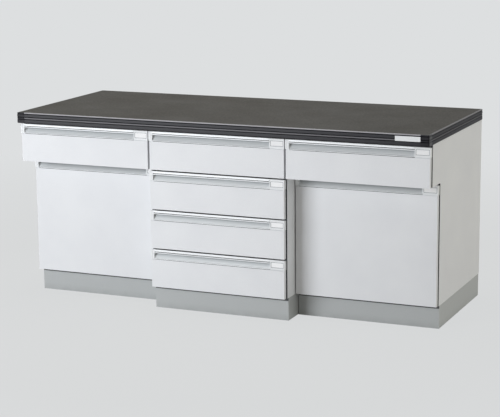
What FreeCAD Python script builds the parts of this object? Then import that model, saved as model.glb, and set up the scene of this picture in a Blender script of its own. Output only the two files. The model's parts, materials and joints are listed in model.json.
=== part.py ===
import FreeCAD
import Part
import math
import os

# Wall lab bench of three cabinets under one worktop, in millimetres.
# X runs along the bench, the front faces -Y, Z is up, and the origin is on the floor under its middle.
# The outer cabinets step back below their top drawer, and the centre one is four drawers high.

# Overall size
bench_width = 1800.0
bench_depth = 750.0
bench_height = 800.0
cabinet_names = ("left", "centre", "right")

# Worktop, with an edging held by a tongue in a slot and a cap on each front corner
worktop_thickness = 45.0
side_overhang = 2.0
wall_gap = 4.0
edging_thickness = 5.0
edging_round = 3.5
edging_groove_width = 3.6
edging_groove_depth = 2.2
edging_groove_shares = (0.37, 0.56, 0.86)
tongue_length = 12.0
tongue_thickness = 3.0
tongue_clearance = 0.2
corner_cap_leg = 30.0
corner_cap_proud = 0.5

# Cabinets
panel_thickness = 18.0
step_depth = 105.0
rail_width = 90.0
back_thickness = 5.0
back_inset = 10.0
back_groove_depth = 7.0
back_clearance = 0.2
shelf_setback = 25.0
shelf_clearance = 1.0
shelf_height_share = 0.5
pin_radius = 2.5
pin_head_radius = 3.5
pin_length = 9.0
pin_head_length = 8.0
pin_clearance = 0.05
pin_setback = 60.0
bumper_radius = 4.0
bumper_fit = 0.3
bumper_height_shares = (0.22, 0.85)

# Plinths
plinth_height = 95.0
plinth_setback = 15.0
plinth_inset = 1.5
plinth_board = 18.0

# Drawer and door fronts: a board with a full-length handle on its top edge
drawer_rows = 4
front_overhang = 28.0
front_thickness = 17.0
front_clearance = 7.0
front_gap = 5.0
top_reveal = 6.0
bottom_reveal = 2.0
end_reveal = 0.5
handle_gap = 4.5
board_inset = 1.5
board_round = 1.5
joint_gap_height = 2.8
joint_gap_depth = 4.0

# Handle section: a lip that stands above the top wall and hangs below it, with a line along its face,
# over a finger recess that slopes out to a lower lip
handle_height = 40.0
handle_proud = 2.0
handle_back_wall = 2.5
handle_top_wall = 3.0
lip_rise = 3.0
lip_rise_thickness = 3.0
lip_height = 15.5
lip_thickness = 5.8
lip_line_top = 8.6
lip_line_height = 3.2
lip_line_depth = 4.0
lower_lip_height = 2.4
lower_lip_depth = 3.0
recess_back_height = 11.0
handle_round = 1.4
recess_round = 4.0
handle_tongue_thickness = 4.0
handle_tongue_length = 9.0
handle_tongue_clearance = 0.2

# Handle ends: a plain cap at the left and a label holder at the right
cap_length = 16.0
cap_line_width = 1.6
cap_line_depth = 0.8
label_cap_length = 64.0
label_joint_width = 2.0
label_joint_depth = 2.5
label_width = 55.0
label_height = 23.0
label_depth = 1.6
label_right_strip = 4.0
label_top = 9.0

# Drawer boxes
box_depth = 520.0
box_height = 96.0
box_lift = 26.0
box_side = 12.0
box_bottom = 5.0
box_bottom_lift = 10.0
box_groove_depth = 6.0
box_clearance = 0.2

# Telescopic slides, three nested channels on each side of a drawer
slide_space = 13.0
slide_length = 500.0
slide_setback = 3.0
slide_height = 45.0
slide_gauge = 1.2
slide_bend = 1.0
slide_fit = 0.3
slide_web_gap = 0.8
slide_flange_gap = 1.2

# Concealed door hinges: a cup let into the door turns on an arm fixed to the outer side panel
hinge_inset = 95.0
hinge_pin_edge = 8.5
hinge_pin_depth = 9.0
hinge_pin_radius = 1.5
hinge_fit = 0.05
hinge_eye_radius = 2.8
hinge_arm_gauge = 2.5
hinge_arm_width = 8.0
hinge_arm_bend = 2.0
hinge_arm_reach = 60.0
hinge_plate_height = 36.0
hinge_plate_start = 20.0
cup_radius = 17.5
cup_edge = 3.0
cup_depth = 13.5
cup_wall = 1.0
cup_flange_width = 5.0
cup_flange_thickness = 1.0
cup_wing_height = 60.0
cup_wing_width = 16.0

# Small round pieces have flat sides, as many as their size needs
small_round_sides = 8
cup_sides = 16

# How far a cutting tool passes beyond what it cuts, and how near two points of an outline are one
overrun = 1.0
same_point = 0.0001

# Places that follow from the sizes above
worktop_left = -bench_width / 2
worktop_front = -bench_depth / 2
worktop_back = bench_depth / 2
carcass_top = bench_height - worktop_thickness
front_face = worktop_front + front_overhang
board_back = front_face + front_thickness
carcass_front = board_back + front_clearance
carcass_back = worktop_back - wall_gap
back_panel_front = carcass_back - back_inset - back_thickness
cabinet_count = len(cabinet_names)
cabinet_width = (bench_width - 2 * side_overhang) / cabinet_count
handles_width = bench_width - 2 * side_overhang - 2 * end_reveal
handle_width = (handles_width - (cabinet_count - 1) * handle_gap) / cabinet_count
fronts_height = carcass_top - plinth_height - top_reveal - bottom_reveal
front_height = (fronts_height - (drawer_rows - 1) * front_gap) / drawer_rows


def vector(x, y, z):
    return FreeCAD.Vector(x, y, z)


def block(x0, x1, y0, y1, z0, z1):
    corner = vector(min(x0, x1), min(y0, y1), min(z0, z1))
    return Part.makeBox(abs(x1 - x0), abs(y1 - y0), abs(z1 - z0), corner)


def faceted_rod(base, direction, radius, length, sides):
    # A straight rod with flat sides, from a base point along a unit direction.
    across = vector(1, 0, 0) if direction.z else vector(0, 0, 1)
    along = direction.cross(across)
    points = []
    for side in range(sides + 1):
        angle = 2 * math.pi * side / sides
        points.append(base + across * (radius * math.cos(angle)) + along * (radius * math.sin(angle)))
    return Part.Face(Part.makePolygon(points)).extrude(direction * length)


def rounded_face(corners):
    # A flat face through corners given as (point, radius), with a tangent arc where there is a radius.
    starts = []
    edges = []
    ends = []
    for index, (point, radius) in enumerate(corners):
        before = (corners[index - 1][0] - point).normalize()
        after = (corners[(index + 1) % len(corners)][0] - point).normalize()
        if radius == 0:
            starts.append(point)
            ends.append(point)
            edges.append(None)
            continue
        half_angle = before.getAngle(after) / 2
        reach = radius / math.tan(half_angle)
        middle = (before + after).normalize()
        start = point + before * reach
        end = point + after * reach
        top = point + middle * (radius / math.sin(half_angle) - radius)
        starts.append(start)
        ends.append(end)
        edges.append(Part.Arc(start, top, end).toShape())
    outline = []
    for index, edge in enumerate(edges):
        if edge is not None:
            outline.append(edge)
        following = starts[(index + 1) % len(corners)]
        if ends[index].distanceToPoint(following) > same_point:
            outline.append(Part.LineSegment(ends[index], following).toShape())
    return Part.Face(Part.Wire(outline))


def cabinet_span(index):
    start = worktop_left + side_overhang + index * cabinet_width
    return start, start + cabinet_width


def handle_span(index):
    start = -handles_width / 2 + index * (handle_width + handle_gap)
    return start, start + handle_width


def row_bottom(row):
    # Row 0 is the top drawer.
    above_floor = plinth_height + bottom_reveal
    return above_floor + (drawer_rows - 1 - row) * (front_height + front_gap)


step_height = row_bottom(0)
door_bottom = row_bottom(drawer_rows - 1)
door_top = step_height - front_gap
lower_front = carcass_front + step_depth
door_face = front_face + step_depth
door_back = board_back + step_depth


def edging_outline(thickness, with_tongue):
    # Points (outwards, upwards, radius) of the edging's section, from the worktop core's edge.
    points = [(0, 0, 0), (thickness, 0, edging_round)]
    half_groove = edging_groove_width / 2
    for share in edging_groove_shares:
        middle = share * worktop_thickness
        points.append((thickness, middle - half_groove, 0))
        points.append((thickness - edging_groove_depth, middle, 0))
        points.append((thickness, middle + half_groove, 0))
    points.append((thickness, worktop_thickness, edging_round))
    points.append((0, worktop_thickness, 0))
    if with_tongue:
        middle = worktop_thickness / 2
        half = tongue_thickness / 2
        points.append((0, middle + half, 0))
        points.append((-tongue_length, middle + half, 0))
        points.append((-tongue_length, middle - half, 0))
        points.append((0, middle - half, 0))
    return points


core_edge = edging_thickness + corner_cap_proud
core_right = bench_width / 2 - core_edge
core_front = worktop_front + core_edge


def front_edging(x0, x1, thickness, with_tongue):
    corners = []
    for out, up, radius in edging_outline(thickness, with_tongue):
        corners.append((vector(x0, core_front - out, carcass_top + up), radius))
    return rounded_face(corners).extrude(vector(x1 - x0, 0, 0))


def side_edging(side, y0, y1, thickness, with_tongue):
    corners = []
    for out, up, radius in edging_outline(thickness, with_tongue):
        corners.append((vector(side * (core_right + out), y0, carcass_top + up), radius))
    return rounded_face(corners).extrude(vector(0, y1 - y0, 0))


def corner_cap(side):
    # The edging's section carried along both edges and turned about the core's corner.
    corner = side * core_right
    front_leg = front_edging(corner - side * corner_cap_leg, corner, core_edge, False)
    side_leg = side_edging(side, core_front, core_front + corner_cap_leg, core_edge, False)
    corners = []
    for out, up, radius in edging_outline(core_edge, False):
        corners.append((vector(corner, core_front - out, carcass_top + up), radius))
    quarter_turn = side * 90
    turn = rounded_face(corners).revolve(vector(corner, core_front, 0), vector(0, 0, 1), quarter_turn)
    return front_leg.fuse([turn, side_leg]).removeSplitter()


def worktop_core():
    core = block(-core_right, core_right, core_front, worktop_back, carcass_top, bench_height)
    middle = carcass_top + worktop_thickness / 2
    half = tongue_thickness / 2 + tongue_clearance
    depth = tongue_length + tongue_clearance
    slots = [block(-core_right - overrun, core_right + overrun, core_front - overrun, core_front + depth,
                   middle - half, middle + half)]
    for side in (-1, 1):
        slots.append(block(side * (core_right - depth), side * (core_right + overrun),
                           core_front - overrun, worktop_back + overrun, middle - half, middle + half))
    return core.cut(slots)


def side_panel(cabinet, side):
    # A side panel with the groove that holds the back, stepped where the cabinet's lower part is set back.
    start, end = cabinet_span(cabinet)
    outer = start if side < 0 else end
    inner = outer - side * panel_thickness
    points = [(carcass_back, plinth_height), (carcass_back, carcass_top), (carcass_front, carcass_top)]
    if is_stepped(cabinet):
        points += [(carcass_front, step_height), (lower_front, step_height), (lower_front, plinth_height)]
    else:
        points.append((carcass_front, plinth_height))
    corners = []
    for y, z in points:
        corners.append((vector(outer, y, z), 0))
    panel = rounded_face(corners).extrude(vector(inner - outer, 0, 0))
    groove = block(inner - side * overrun, inner + side * back_groove_depth,
                   back_panel_front - back_clearance, back_panel_front + back_thickness + back_clearance,
                   plinth_height - overrun, carcass_top + overrun)
    cuts = [groove]
    if is_stepped(cabinet):
        for y in pin_places():
            cuts.append(faceted_rod(vector(inner, y, pin_height()), vector(side, 0, 0),
                                    pin_radius + pin_clearance, pin_length + pin_clearance,
                                    small_round_sides))
    return panel.cut(cuts)


def is_stepped(cabinet):
    return cabinet_names[cabinet] != "centre"


def shelf_underside():
    low = plinth_height + panel_thickness
    return low + (step_height - low) * shelf_height_share


def pin_height():
    return shelf_underside() - pin_head_radius - pin_clearance


def pin_places():
    return lower_front + pin_setback, back_panel_front - pin_setback


def carcass(cabinet):
    start, end = cabinet_span(cabinet)
    inner_left = start + panel_thickness
    inner_right = end - panel_thickness
    low_front = lower_front if is_stepped(cabinet) else carcass_front
    rail_bottom = carcass_top - panel_thickness
    boards = [
        side_panel(cabinet, -1),
        side_panel(cabinet, 1),
        block(inner_left, inner_right, low_front, back_panel_front, plinth_height,
              plinth_height + panel_thickness),
        block(inner_left, inner_right, carcass_front, carcass_front + rail_width, rail_bottom, carcass_top),
        block(inner_left, inner_right, back_panel_front - rail_width, back_panel_front, rail_bottom,
              carcass_top),
    ]
    if is_stepped(cabinet):
        boards.append(block(inner_left, inner_right, carcass_front, back_panel_front, step_height,
                            step_height + panel_thickness))
    return boards


def back_panel(cabinet):
    start, end = cabinet_span(cabinet)
    edge = panel_thickness - back_groove_depth + back_clearance
    return block(start + edge, end - edge, back_panel_front, back_panel_front + back_thickness,
                 plinth_height, carcass_top)


def shelf(cabinet):
    start, end = cabinet_span(cabinet)
    edge = panel_thickness + shelf_clearance
    low = shelf_underside()
    return block(start + edge, end - edge, lower_front + shelf_setback, back_panel_front - shelf_clearance,
                 low, low + panel_thickness)


def shelf_pins(cabinet):
    pins = []
    start, end = cabinet_span(cabinet)
    for side, inner in ((-1, start + panel_thickness), (1, end - panel_thickness)):
        for y in pin_places():
            seat = vector(inner, y, pin_height())
            shank = faceted_rod(seat, vector(side, 0, 0), pin_radius, pin_length, small_round_sides)
            head = faceted_rod(seat, vector(-side, 0, 0), pin_head_radius, pin_head_length,
                               small_round_sides)
            pins.append(shank.fuse(head))
    return pins


def plinth(cabinet):
    start, end = cabinet_span(cabinet)
    left = start + plinth_inset
    right = end - plinth_inset
    front = plinth_setback + (lower_front if is_stepped(cabinet) else carcass_front)
    back = carcass_back - plinth_inset
    return [
        block(left, right, front, front + plinth_board, 0, plinth_height),
        block(left, right, back - plinth_board, back, 0, plinth_height),
        block(left, left + plinth_board, front + plinth_board, back - plinth_board, 0, plinth_height),
        block(right - plinth_board, right, front + plinth_board, back - plinth_board, 0, plinth_height),
    ]


def bumper(x, y, z):
    thickness = front_clearance - bumper_fit
    return faceted_rod(vector(x, y, z), vector(0, -1, 0), bumper_radius, thickness, small_round_sides)


def bumpers(cabinet):
    # Soft stops on the panels' front edges: two behind each drawer, and two on each door's free side.
    stops = []
    start, end = cabinet_span(cabinet)
    left = start + panel_thickness / 2
    right = end - panel_thickness / 2
    rows = range(1) if is_stepped(cabinet) else range(drawer_rows)
    for row in rows:
        z = row_bottom(row) + front_height / 2
        stops.append(bumper(left, carcass_front, z))
        stops.append(bumper(right, carcass_front, z))
    if is_stepped(cabinet):
        free = right if hinge_side(cabinet) < 0 else left
        for share in bumper_height_shares:
            stops.append(bumper(free, lower_front, door_bottom + (door_top - door_bottom) * share))
    return stops


def hinge_side(cabinet):
    # Doors hang from the bench's ends, clear of the centre cabinet that stands further out.
    return -1 if cabinet == 0 else 1


def board_span(cabinet):
    start, end = handle_span(cabinet)
    return start + board_inset, end - board_inset


def handle_seat(face):
    return face + front_thickness / 2


def front_board(cabinet, face, bottom, top):
    # A board with a groove in its top edge for the handle's tongue and a narrow gap left under the handle.
    left, right = board_span(cabinet)
    board_top = top - handle_height
    back = face + front_thickness
    plan = [
        (vector(left, back, bottom), 0),
        (vector(left, face, bottom), board_round),
        (vector(right, face, bottom), board_round),
        (vector(right, back, bottom), 0),
    ]
    board = rounded_face(plan).extrude(vector(0, 0, board_top - bottom))
    grip_left, grip_right = grip_span(cabinet)
    half = handle_tongue_thickness / 2 + handle_tongue_clearance
    depth = handle_tongue_length + handle_tongue_clearance
    groove = block(grip_left - handle_tongue_clearance, grip_right + handle_tongue_clearance,
                   handle_seat(face) - half, handle_seat(face) + half,
                   board_top - depth, board_top + overrun)
    joint_gap = block(left - overrun, right + overrun, face - overrun, face + joint_gap_depth,
                      board_top - joint_gap_height, board_top + overrun)
    return board.cut([groove, joint_gap])


def grip_span(cabinet):
    start, end = handle_span(cabinet)
    return start + cap_length, end - label_cap_length


def section_face(x, face, top, points):
    corners = []
    for back, down, radius in points:
        corners.append((vector(x, face + back, top - down), radius))
    return rounded_face(corners)


def handle_grip(cabinet, face, top):
    left, right = grip_span(cabinet)
    rise_back = lip_rise_thickness - handle_proud
    lip_back = lip_thickness - handle_proud
    line_back = lip_line_depth - handle_proud
    line_bottom = lip_line_top + lip_line_height
    recess_back = front_thickness - handle_back_wall
    recess_top = lip_rise + handle_top_wall
    sill = handle_height - lower_lip_height
    half = handle_tongue_thickness / 2
    seat = front_thickness / 2
    tip = handle_height + handle_tongue_length
    section = [
        (front_thickness, lip_rise, 0),
        (rise_back, lip_rise, 0),
        (rise_back, 0, 0),
        (-handle_proud, 0, handle_round),
        (-handle_proud, lip_line_top, 0),
        (line_back, lip_line_top, 0),
        (line_back, line_bottom, 0),
        (-handle_proud, line_bottom, 0),
        (-handle_proud, lip_height, handle_round),
        (lip_back, lip_height, handle_round),
        (lip_back, recess_top, 0),
        (recess_back, recess_top, recess_round),
        (recess_back, recess_top + recess_back_height, recess_round),
        (lower_lip_depth - handle_proud, sill, recess_round),
        (-handle_proud, sill, handle_round),
        (-handle_proud, handle_height, 0),
        (seat - half, handle_height, 0),
        (seat - half, tip, 0),
        (seat + half, tip, 0),
        (seat + half, handle_height, 0),
        (front_thickness, handle_height, 0),
    ]
    return section_face(left, face, top, section).extrude(vector(right - left, 0, 0))


def end_block(x0, x1, face, top):
    rise_back = lip_rise_thickness - handle_proud
    outline = [
        (front_thickness, lip_rise, 0),
        (rise_back, lip_rise, 0),
        (rise_back, 0, 0),
        (-handle_proud, 0, handle_round),
        (-handle_proud, handle_height, 0),
        (front_thickness, handle_height, 0),
    ]
    return section_face(x0, face, top, outline).extrude(vector(x1 - x0, 0, 0))


def handle_ends(cabinet, face, top):
    start, end = handle_span(cabinet)
    grip_left, grip_right = grip_span(cabinet)
    skin = face - handle_proud
    middle = (start + grip_left) / 2
    half = cap_line_width / 2
    line = Part.makePolygon([
        vector(middle - half, skin, top + overrun),
        vector(middle, skin + cap_line_depth, top + overrun),
        vector(middle + half, skin, top + overrun),
        vector(middle - half, skin, top + overrun),
    ])
    line_cut = Part.Face(line).extrude(vector(0, 0, -handle_height - 2 * overrun))
    label_right = end - label_right_strip
    pocket = block(label_right - label_width, label_right, skin - overrun, skin + label_depth,
                   top - label_top - label_height, top - label_top)
    joint = block(grip_right - overrun, grip_right + label_joint_width, skin - overrun,
                  skin + label_joint_depth, top - handle_height - overrun, top - lip_rise)
    plain_cap = end_block(start, grip_left, face, top).cut(line_cut)
    label_holder = end_block(grip_right, end, face, top).cut([pocket, joint])
    return [plain_cap, label_holder]


def box_span(cabinet):
    start, end = cabinet_span(cabinet)
    edge = panel_thickness + slide_space
    return start + edge, end - edge


def drawer_box(cabinet, bottom):
    left, right = box_span(cabinet)
    low = bottom + box_lift
    high = low + box_height
    rear = board_back + box_depth
    floor_low = low + box_bottom_lift
    floor_high = floor_low + box_bottom
    reach = box_groove_depth - box_clearance
    groove = block(left + box_side - box_groove_depth, right - box_side + box_groove_depth,
                   board_back + box_side - box_groove_depth, rear + overrun,
                   floor_low, floor_high + box_clearance)
    left_side = block(left, left + box_side, board_back, rear, low, high).cut(groove)
    right_side = block(right - box_side, right, board_back, rear, low, high).cut(groove)
    inner_front = block(left + box_side, right - box_side, board_back, board_back + box_side, low, high)
    back = block(left + box_side, right - box_side, rear - box_side, rear, floor_high, high)
    floor = block(left + box_side - reach, right - box_side + reach, board_back + box_side - reach, rear,
                  floor_low, floor_high)
    return [left_side, right_side, inner_front.cut(groove), back, floor]


def channel(web, lip, height, middle):
    # A folded strip with its web at one X and its two flanges reaching to another.
    side = 1 if lip > web else -1
    inner = web + side * slide_gauge
    half = height / 2
    inner_half = half - slide_gauge
    start = carcass_front + slide_setback
    bend = web + side * slide_bend
    points = [
        (bend, -half), (lip, -half), (lip, -inner_half), (inner, -inner_half), (inner, inner_half),
        (lip, inner_half), (lip, half), (bend, half), (web, half - slide_bend), (web, slide_bend - half),
    ]
    corners = []
    for x, z in points:
        corners.append((vector(x, start, middle + z), 0))
    return rounded_face(corners).extrude(vector(0, slide_length, 0))


def slide_channels(cabinet, bottom, member):
    # Member 0 is fixed to the cabinet, 1 is the middle one and 2 is fixed to the drawer.
    start, end = cabinet_span(cabinet)
    middle = bottom + box_lift + box_height / 2
    height = slide_height - member * 2 * (slide_gauge + slide_fit)
    drawer_web = slide_space - slide_gauge
    middle_web = slide_gauge + slide_web_gap
    fixed_lip = drawer_web - 2 * slide_flange_gap
    spans = (
        (0, fixed_lip),
        (middle_web, drawer_web - slide_flange_gap),
        (slide_space, middle_web + slide_gauge + slide_flange_gap),
    )
    web, lip = spans[member]
    pair = []
    for side, inner in ((1, start + panel_thickness), (-1, end - panel_thickness)):
        pair.append(channel(inner + side * web, inner + side * lip, height, middle))
    return pair


def hinge_heights():
    return door_bottom + hinge_inset, door_top - handle_height - hinge_inset


def hinge_frame(cabinet):
    # The door board's outer edge, and the direction from it towards the middle of the door.
    left, right = board_span(cabinet)
    return (left, 1) if hinge_side(cabinet) < 0 else (right, -1)


def hinge_pin_place(cabinet):
    edge, inwards = hinge_frame(cabinet)
    return edge + inwards * hinge_pin_edge, door_back - hinge_pin_depth


def hinge_cup(cabinet, z):
    edge, inwards = hinge_frame(cabinet)
    middle = edge + inwards * (cup_edge + cup_radius)
    return faceted_rod(vector(middle, door_back, z), vector(0, -1, 0), cup_radius, cup_depth, cup_sides)


def hinge_cups(cabinet):
    # A cup with a flange and two wings on the door's back, and a pin across it near the door's outer edge.
    edge, inwards = hinge_frame(cabinet)
    middle = edge + inwards * (cup_edge + cup_radius)
    pin_x, pin_y = hinge_pin_place(cabinet)
    pin_offset = abs(middle - pin_x)
    pin_half = math.sqrt((cup_radius - cup_wall / 2) ** 2 - pin_offset ** 2)
    flange_radius = cup_radius + cup_flange_width - cup_edge
    cups = []
    for z in hinge_heights():
        cup = hinge_cup(cabinet, z)
        flange = faceted_rod(vector(middle, door_back, z), vector(0, 1, 0), flange_radius,
                             cup_flange_thickness, cup_sides)
        wings = block(middle - cup_wing_width / 2, middle + cup_wing_width / 2, door_back,
                      door_back + cup_flange_thickness, z - cup_wing_height / 2, z + cup_wing_height / 2)
        hollow = faceted_rod(vector(middle, door_back + cup_flange_thickness, z), vector(0, -1, 0),
                             cup_radius - cup_wall, cup_depth - cup_wall + cup_flange_thickness, cup_sides)
        pin = Part.makeCylinder(hinge_pin_radius, 2 * pin_half, vector(pin_x, pin_y, z - pin_half),
                                vector(0, 0, 1))
        cups.append(cup.fuse([flange, wings]).cut(hollow).fuse(pin.common(cup)).removeSplitter())
    return cups


def hinge_arms(cabinet):
    # A flat arm with an eye round the pin, bent back past the side panel's edge to a plate on its inner face.
    edge, inwards = hinge_frame(cabinet)
    middle = edge + inwards * (cup_edge + cup_radius)
    pin_x, pin_y = hinge_pin_place(cabinet)
    half = hinge_arm_gauge / 2
    arm_inside = middle + inwards * half
    arm_outside = middle - inwards * half
    rear = lower_front + hinge_arm_reach
    start, end = cabinet_span(cabinet)
    panel_face = start + panel_thickness if inwards > 0 else end - panel_thickness
    pieces = []
    for z in hinge_heights():
        low = z - hinge_arm_width / 2
        outline = [
            (pin_x, pin_y - half, 0),
            (arm_inside, pin_y - half, hinge_arm_bend + hinge_arm_gauge),
            (arm_inside, rear, 0),
            (arm_outside, rear, 0),
            (arm_outside, pin_y + half, hinge_arm_bend),
            (pin_x, pin_y + half, 0),
        ]
        corners = []
        for x, y, radius in outline:
            corners.append((vector(x, y, low), radius))
        strip = rounded_face(corners).extrude(vector(0, 0, hinge_arm_width))
        eye = faceted_rod(vector(pin_x, pin_y, low), vector(0, 0, 1), hinge_eye_radius, hinge_arm_width,
                          small_round_sides)
        bore = Part.makeCylinder(hinge_pin_radius + hinge_fit, hinge_arm_width + 2 * overrun,
                                 vector(pin_x, pin_y, low - overrun))
        pieces.append(strip.fuse(eye).cut(bore).removeSplitter())
        plate_low = z - hinge_plate_height / 2
        plate_high = z + hinge_plate_height / 2
        plate_front = lower_front + hinge_plate_start
        pieces.append(block(panel_face, arm_outside, plate_front, rear, plate_low, plate_high))
    return pieces


def save(name, solids):
    shape = solids[0] if len(solids) == 1 else Part.makeCompound(solids)
    shape.exportStep(os.path.join("parts", name + ".step"))


def save_front(name, cabinet, face, board, top):
    save(name + "_front", [board])
    save(name + "_handle", [handle_grip(cabinet, face, top)])
    save(name + "_handle_ends", handle_ends(cabinet, face, top))


def save_drawer(name, cabinet, row):
    bottom = row_bottom(row)
    top = bottom + front_height
    save_front(name, cabinet, front_face, front_board(cabinet, front_face, bottom, top), top)
    save(name + "_box", drawer_box(cabinet, bottom))
    save(name + "_slide_inner", slide_channels(cabinet, bottom, 2))
    save(name + "_slide_middle", slide_channels(cabinet, bottom, 1))


def save_door(name, cabinet):
    board = front_board(cabinet, door_face, door_bottom, door_top)
    pockets = []
    for z in hinge_heights():
        pockets.append(hinge_cup(cabinet, z))
    save_front(name, cabinet, door_face, board.cut(pockets), door_top)
    save(name + "_hinge_cups", hinge_cups(cabinet))


os.makedirs("parts", exist_ok=True)

drawers = [("left_drawer", 0, 0), ("right_drawer", cabinet_count - 1, 0)]
for row in range(drawer_rows):
    drawers.append(("centre_drawer_%d" % (row + 1), 1, row))
for name, cabinet, row in drawers:
    save_drawer(name, cabinet, row)

doors = [("left_door", 0), ("right_door", cabinet_count - 1)]
arms = []
shelves = []
pins = []
for name, cabinet in doors:
    save_door(name, cabinet)
    arms += hinge_arms(cabinet)
    shelves.append(shelf(cabinet))
    pins += shelf_pins(cabinet)
save("door_hinge_arms", arms)
save("shelves", shelves)
save("shelf_pins", pins)

backs = []
stops = []
for cabinet, name in enumerate(cabinet_names):
    save(name + "_carcass", carcass(cabinet))
    save(name + "_plinth", plinth(cabinet))
    backs.append(back_panel(cabinet))
    stops += bumpers(cabinet)
save("back_panels", backs)
save("front_bumpers", stops)

fixed_slides = []
for name, cabinet, row in drawers:
    fixed_slides += slide_channels(cabinet, row_bottom(row), 0)
save("slide_outer", fixed_slides)

cap_edge = core_right - corner_cap_leg
side_edging_front = core_front + corner_cap_leg
save("worktop_core", [worktop_core()])
save("worktop_front_edging", [front_edging(-cap_edge, cap_edge, edging_thickness, True)])
save("worktop_side_edgings", [
    side_edging(side, side_edging_front, worktop_back, edging_thickness, True) for side in (-1, 1)
])
save("worktop_corner_caps", [corner_cap(side) for side in (-1, 1)])
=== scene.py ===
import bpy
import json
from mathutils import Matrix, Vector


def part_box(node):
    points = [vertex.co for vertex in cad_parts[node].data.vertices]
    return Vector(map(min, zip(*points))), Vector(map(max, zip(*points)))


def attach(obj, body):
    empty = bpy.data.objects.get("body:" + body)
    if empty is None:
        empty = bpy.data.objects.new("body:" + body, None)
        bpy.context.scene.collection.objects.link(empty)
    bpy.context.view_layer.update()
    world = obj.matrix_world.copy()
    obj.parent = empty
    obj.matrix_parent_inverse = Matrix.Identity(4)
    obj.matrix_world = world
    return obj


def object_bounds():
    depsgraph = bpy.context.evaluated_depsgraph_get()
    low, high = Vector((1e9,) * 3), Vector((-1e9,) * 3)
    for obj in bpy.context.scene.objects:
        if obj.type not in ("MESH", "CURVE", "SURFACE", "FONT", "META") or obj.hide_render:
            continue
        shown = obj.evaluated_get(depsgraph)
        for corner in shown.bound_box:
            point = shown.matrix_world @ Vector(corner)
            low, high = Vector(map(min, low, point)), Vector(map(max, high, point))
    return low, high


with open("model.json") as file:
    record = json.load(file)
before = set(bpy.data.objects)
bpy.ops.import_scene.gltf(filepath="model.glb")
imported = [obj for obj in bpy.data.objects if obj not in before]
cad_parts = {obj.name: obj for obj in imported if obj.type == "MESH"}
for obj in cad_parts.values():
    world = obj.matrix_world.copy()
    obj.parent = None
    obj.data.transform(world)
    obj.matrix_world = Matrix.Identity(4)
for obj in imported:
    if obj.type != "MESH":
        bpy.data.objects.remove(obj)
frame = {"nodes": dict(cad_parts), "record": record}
cadBox = [list(corner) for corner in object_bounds()]  # the CAD box, before anything is added

import json
import math

import bpy
import numpy as np
from mathutils import Matrix, Vector

mm = 0.001
noiseSpan = {"From Min": 0.3, "From Max": 0.7}  # where most values of a noise texture lie


def linear(hexText):  # sRGB hex to linear light, with full alpha
    srgb = np.array([int(hexText[i:i + 2], 16) for i in (1, 3, 5)]) / 255
    light = np.where(srgb <= 0.04045, srgb / 12.92, ((srgb + 0.055) / 1.055) ** 2.4)
    return (*light.tolist(), 1.0)


def addNode(tree, kind, inputs=None, **settings):  # sockets are linked, other values are set
    node = tree.nodes.new(kind)
    for key, value in settings.items():
        setattr(node, key, value)
    for key, value in (inputs or {}).items():
        if isinstance(value, bpy.types.NodeSocket):
            tree.links.new(value, node.inputs[key])
        else:
            node.inputs[key].default_value = value
    return node


def startFinish(name):  # an empty material and the object's own coordinates in metres
    finish = bpy.data.materials.new(name)
    finish.use_nodes = True
    finish.node_tree.nodes.clear()
    place = addNode(finish.node_tree, "ShaderNodeTexCoord").outputs["Object"]
    return finish, finish.node_tree, place


def closeFinish(tree, inputs):  # the shader, with its links and values, and the output
    shader = addNode(tree, "ShaderNodeBsdfPrincipled", inputs)
    addNode(tree, "ShaderNodeOutputMaterial", {"Surface": shader.outputs["BSDF"]})


def perMetre(sizeMm):  # texture scale for a pattern of that size
    return 1 / (sizeMm * mm)


def perMetreXyz(sizesMm):  # the same for a pattern with its own size along each axis
    return [perMetre(size) for size in sizesMm]


# Melamine paper pressed on particle board: an even cool white, faintly cloudy, with a fine pearl
# grain that softens the reflections. The pearl is about 0.6 mm, drawn at 2.2 mm so that it shows.
# The cabinets' front edges are painted a dark grey for 1 mm, as painted shade, so that the gaps
# read as dark lines. A painted shade band is given in mm, by the Y of the front edge and the height
# that it ends at.
melamine = {"board": "#e6e8ea", "cloud": "#dfe1e4", "cloudMm": 160, "pearlMm": 2.2,
            "cloudFrom": 0.1, "cloudTo": 0.42, "roughLow": 0.42, "roughHigh": 0.52,
            "bump": 0.06, "bumpMm": 0.3, "ior": 1.5, "gapShade": "#47484b", "gapShadeMm": 1.0,
            "upperGapShade": (-323, 800), "doorGapShade": (-218, 588)}


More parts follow.
